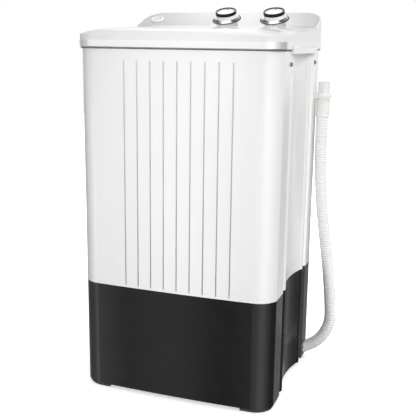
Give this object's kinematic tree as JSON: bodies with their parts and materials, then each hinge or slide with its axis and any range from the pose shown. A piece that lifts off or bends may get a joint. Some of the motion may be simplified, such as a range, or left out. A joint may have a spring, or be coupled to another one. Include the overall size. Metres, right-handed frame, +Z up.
{
  "type": "portable washing machine",
  "caption": "Single-tub top-loading pulsator washer with a fluted cabinet, dark base, sloped console with knobs, hinged lid and a standing drain hose.",
  "frame": {"origin": "on the floor under the middle of the machine, measured without the drain hose", "axes": "+X to the right seen from the front, +Y to the rear, +Z up; the front faces -Y"},
  "size_m": [0.5664, 0.4259, 0.9103],
  "materials": {
    "white_gloss": "glossy moulded plastic",
    "deck_white": "satin moulded plastic",
    "panel_silver": "silver-grey pearl plastic",
    "base_black": "satin charcoal plastic",
    "chrome": "bright chrome plating",
    "knob_white": "glossy plastic",
    "knob_black": "glossy black plastic",
    "hose_white": "translucent corrugated plastic",
    "trim_white": "glossy plastic",
    "tub_white": "smooth moulded plastic",
    "pulsator_blue": "glossy plastic",
    "steel": "zinc-plated steel",
    "cast_alloy": "cast alloy",
    "motor_paint": "black enamel",
    "rubber_black": "matt rubber",
    "grey_plastic": "moulded plastic",
    "filter_mesh": "fine nylon mesh"
  },
  "bodies": {
    "machine": {"base_housing": "base_black", "feet": "base_black", "base_plate": "grey_plastic", "rear_access_cover": "base_black", "housing_screws": "steel", "cabinet": "white_gloss", "grip_screws": "steel", "cord_gland": "rubber_black", "rim": "white_gloss", "side_grips": "white_gloss", "top_deck": "deck_white", "splash_guard": "tub_white", "console_housing": "deck_white", "console_panel": "panel_silver", "water_inlet": "trim_white", "timer_unit": "grey_plastic", "selector_unit": "grey_plastic", "wash_tub": "tub_white", "tub_floor": "tub_white", "filter_channel": "tub_white", "bearing_housing": "cast_alloy", "shaft_bearings": "steel", "shaft_seal": "rubber_black", "drive_belt": "rubber_black", "motor_bracket": "steel", "motor_mounts": "rubber_black", "motor_body": "motor_paint", "capacitor": "grey_plastic", "drain_valve_body": "grey_plastic", "valve_spring": "steel", "sump_duct": "grey_plastic", "drain_pipe": "rubber_black", "drain_outlet": "trim_white", "drain_hose": "hose_white", "hose_cuff": "hose_white", "hose_spout": "trim_white", "hose_clip": "trim_white", "hose_hook": "trim_white"},
    "lid": {"lid": "deck_white", "lid_hinge_pins": "steel"},
    "timer_knob": {"timer_knob_skirt": "chrome", "timer_knob_body": "knob_white", "timer_knob_band": "knob_black", "timer_spindle": "steel"},
    "selector_knob": {"selector_knob_skirt": "chrome", "selector_knob_body": "knob_white", "selector_knob_band": "knob_black", "selector_spindle": "steel"},
    "pulsator_drive": {"pulsator": "pulsator_blue", "pulsator_cap": "tub_white", "drive_shaft": "steel", "drive_pulley": "cast_alloy", "pulley_nut": "steel"},
    "motor_rotor": {"motor_shaft": "steel", "motor_pulley": "cast_alloy", "motor_fan": "grey_plastic"},
    "drain_valve": {"drain_valve_plunger": "rubber_black", "valve_pull_strap": "grey_plastic"},
    "lint_filter": {"lint_filter_frame": "pulsator_blue", "lint_filter_bag": "filter_mesh"}
  },
  "joints": [
    {"name": "lid_hinge", "type": "hinge", "parent": "machine", "child": "lid", "pos_m": [0, 0.10053, 0.8584], "axis": [-1, 0, 0], "range_deg": [0, 100]},
    {"name": "timer_turn", "type": "hinge", "parent": "machine", "child": "timer_knob", "pos_m": [-0.004, 0.163, 0.88008], "axis": [0, 0.3843, -0.9232], "range_deg": [0, 300]},
    {"name": "selector_turn", "type": "hinge", "parent": "machine", "child": "selector_knob", "pos_m": [0.122, 0.163, 0.88008], "axis": [0, 0.3843, -0.9232], "range_deg": [0, 90]},
    {"name": "pulsator_spin", "type": "hinge", "parent": "machine", "child": "pulsator_drive", "pos_m": [0, -0.008, 0.3], "axis": [0, 0, 1], "continuous": true},
    {"name": "motor_spin", "type": "hinge", "parent": "machine", "child": "motor_rotor", "pos_m": [-0.124, 0.078, 0.2], "axis": [0, 0, 1], "continuous": true},
    {"name": "drain_valve_lift", "type": "slide", "parent": "machine", "child": "drain_valve", "axis": [0, 0, 1], "range_m": [0, 0.012], "deforming": ["valve_spring"]},
    {"name": "lint_filter_slide", "type": "slide", "parent": "machine", "child": "lint_filter", "axis": [0, 0, 1], "range_m": [0, 0.07]}
  ],
  "couplings": [
    {"joint": "motor_spin", "follows": "pulsator_spin", "ratio": 2.5},
    {"joint": "drain_valve_lift", "follows": "selector_turn", "m_per_rad": 0.0076}
  ]
}
